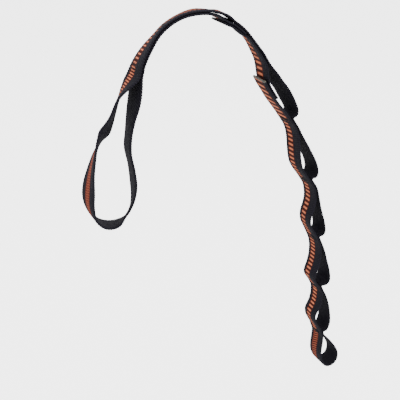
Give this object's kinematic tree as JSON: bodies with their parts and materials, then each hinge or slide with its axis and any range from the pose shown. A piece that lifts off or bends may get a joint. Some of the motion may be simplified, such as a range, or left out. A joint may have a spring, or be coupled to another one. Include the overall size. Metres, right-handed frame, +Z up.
{
  "type": "stretching strap",
  "caption": "Flat black webbing strap with an orange stripe, doubled and bar-tacked into a big hand or foot loop, a row of pocket loops and an end loop, hanging over a peg",
  "frame": {"origin": "underside of the doubled webbing at the top of the arch, midway across its width, where a peg or bar carries the strap", "axes": "+Z up; the strap hangs in the X-Z plane with the big loop towards -X and the row of pockets towards +X; the width of the webbing runs along Y"},
  "size_m": [0.3694, 0.0261, 0.5529],
  "materials": {
    "striped_webbing": "flat woven nylon, one face with an orange tracer stripe",
    "plain_webbing": "flat woven nylon, plain black ribbed face",
    "sewing_thread": "black bonded polyester thread in dense zigzag stitches"
  },
  "bodies": {
    "arch": {"arch_outer_web": "striped_webbing", "arch_inner_web": "plain_webbing", "arch_left_tack_needle_thread": "sewing_thread", "arch_left_tack_bobbin_thread": "sewing_thread", "arch_right_tack_needle_thread": "sewing_thread", "arch_right_tack_bobbin_thread": "sewing_thread"},
    "shoulder": {"shoulder_outer_web": "striped_webbing", "shoulder_inner_web": "plain_webbing", "shoulder_tack_needle_thread": "sewing_thread", "shoulder_tack_bobbin_thread": "sewing_thread"},
    "big_loop": {"big_loop_left_upper_web": "striped_webbing", "big_loop_left_lower_web": "striped_webbing", "big_loop_bottom_web": "plain_webbing", "big_loop_right_web": "plain_webbing"},
    "crest": {"crest_outer_web": "striped_webbing", "crest_inner_web": "plain_webbing", "crest_turned_tail_web": "plain_webbing", "crest_lap_web": "striped_webbing", "crest_tack_needle_thread": "sewing_thread", "crest_tack_bobbin_thread": "sewing_thread"},
    "pocket_1": {"pocket_1_upper_lap_web": "striped_webbing", "pocket_1_lower_lap_web": "striped_webbing", "pocket_1_loop_web": "plain_webbing", "lap_seam_far_thread": "sewing_thread", "lap_seam_near_thread": "sewing_thread", "pocket_1_tack_needle_thread": "sewing_thread", "pocket_1_tack_bobbin_thread": "sewing_thread"},
    "pocket_2": {"pocket_2_main_web": "striped_webbing", "pocket_2_loop_web": "plain_webbing", "pocket_2_tack_needle_thread": "sewing_thread", "pocket_2_tack_bobbin_thread": "sewing_thread"},
    "pocket_3": {"pocket_3_main_web": "striped_webbing", "pocket_3_loop_web": "plain_webbing", "pocket_3_tack_needle_thread": "sewing_thread", "pocket_3_tack_bobbin_thread": "sewing_thread"},
    "pocket_4": {"pocket_4_main_web": "striped_webbing", "pocket_4_loop_web": "plain_webbing", "pocket_4_tack_needle_thread": "sewing_thread", "pocket_4_tack_bobbin_thread": "sewing_thread"},
    "pocket_5": {"pocket_5_main_web": "striped_webbing", "pocket_5_loop_web": "plain_webbing", "pocket_5_tack_needle_thread": "sewing_thread", "pocket_5_tack_bobbin_thread": "sewing_thread"},
    "end_loop": {"end_loop_main_web": "striped_webbing", "end_loop_bottom_web": "plain_webbing", "end_loop_side_web": "plain_webbing"}
  },
  "joints": [
    {"name": "shoulder_flex", "type": "hinge", "parent": "arch", "child": "shoulder", "pos_m": [-0.0436, 0, -0.01392], "axis": [-0.2095, -0.9497, 0.2329], "range_deg": [-25, 25], "stiffness_Nm_per_rad": 0.058, "springref_deg": -7.21},
    {"name": "big_loop_flex", "type": "hinge", "parent": "shoulder", "child": "big_loop", "pos_m": [-0.06751, 0, -0.04741], "axis": [0.0568, -0.9981, -0.0247], "range_deg": [-30, 30], "stiffness_Nm_per_rad": 0.03, "springref_deg": -6.65},
    {"name": "crest_flex", "type": "hinge", "parent": "arch", "child": "crest", "pos_m": [0.0132, 0, 0.00051], "axis": [0.0074, -0.9995, 0.0295], "range_deg": [-20, 25], "stiffness_Nm_per_rad": 0.6, "springref_deg": 7.18},
    {"name": "pocket_1_flex", "type": "hinge", "parent": "crest", "child": "pocket_1", "pos_m": [0.04705, 0, -0.0178], "axis": [-0.1334, -0.9828, -0.128], "range_deg": [-20, 25], "stiffness_Nm_per_rad": 0.46, "springref_deg": 7.1},
    {"name": "pocket_2_flex", "type": "hinge", "parent": "pocket_1", "child": "pocket_2", "pos_m": [0.11502, 0, -0.12439], "axis": [0, -1, 0], "range_deg": [-20, 25], "stiffness_Nm_per_rad": 0.21, "springref_deg": 7.01},
    {"name": "pocket_3_flex", "type": "hinge", "parent": "pocket_2", "child": "pocket_3", "pos_m": [0.15208, 0, -0.20769], "axis": [0, -1, 0], "range_deg": [-20, 25], "stiffness_Nm_per_rad": 0.099, "springref_deg": 7.15},
    {"name": "pocket_4_flex", "type": "hinge", "parent": "pocket_3", "child": "pocket_4", "pos_m": [0.17431, 0, -0.29736], "axis": [0, -1, 0], "range_deg": [-20, 25], "stiffness_Nm_per_rad": 0.049, "springref_deg": 7.16},
    {"name": "pocket_5_flex", "type": "hinge", "parent": "pocket_4", "child": "pocket_5", "pos_m": [0.19011, 0, -0.38346], "axis": [0, -1, 0], "range_deg": [-20, 25], "stiffness_Nm_per_rad": 0.03, "springref_deg": 5.44},
    {"name": "end_loop_flex", "type": "hinge", "parent": "pocket_5", "child": "end_loop", "pos_m": [0.20516, 0, -0.47441], "axis": [0, -1, 0], "range_deg": [-25, 30], "stiffness_Nm_per_rad": 0.03, "springref_deg": 2.02}
  ]
}
